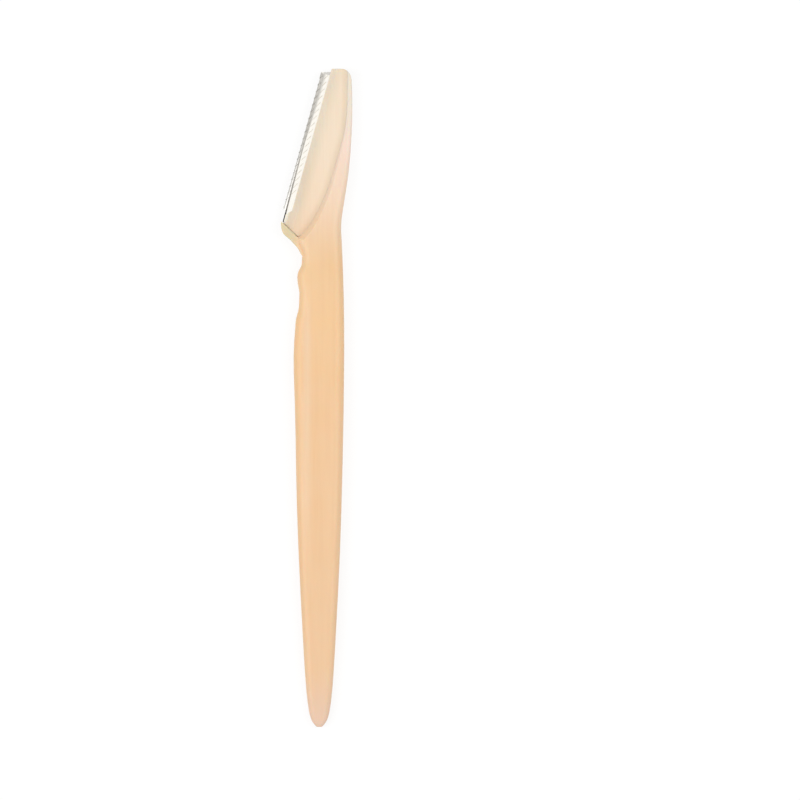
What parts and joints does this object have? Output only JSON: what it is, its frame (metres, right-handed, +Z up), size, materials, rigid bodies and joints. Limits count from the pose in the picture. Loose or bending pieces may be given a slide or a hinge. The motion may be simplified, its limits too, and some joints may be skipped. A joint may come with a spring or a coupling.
{
  "type": "eyebrow razor",
  "caption": "Slim eyebrow razor with a tapered one-piece plastic handle, a curved spine and a steel blade clamped under a leaf-shaped cheek behind a slotted foil guard.",
  "frame": {"origin": "on the flat back that the razor lies on, at half of its length, on the centre line of the grip", "axes": "+Y along the grip from the tail to the head, +Z up out of the flat back, +X towards the spine, so the cutting edge faces -X"},
  "size_m": [0.0163, 0.15, 0.0046],
  "materials": {
    "handle_plastic": "glossy translucent peach moulding",
    "cheek_plastic": "glossy translucent peach moulding, paler where it is thin",
    "guard_steel": "bright polished foil",
    "blade_steel": "finely ground stainless steel"
  },
  "bodies": {
    "root": {"handle": "handle_plastic", "head_cheek": "cheek_plastic", "blade_guard": "guard_steel", "blade": "blade_steel"}
  },
  "joints": []
}
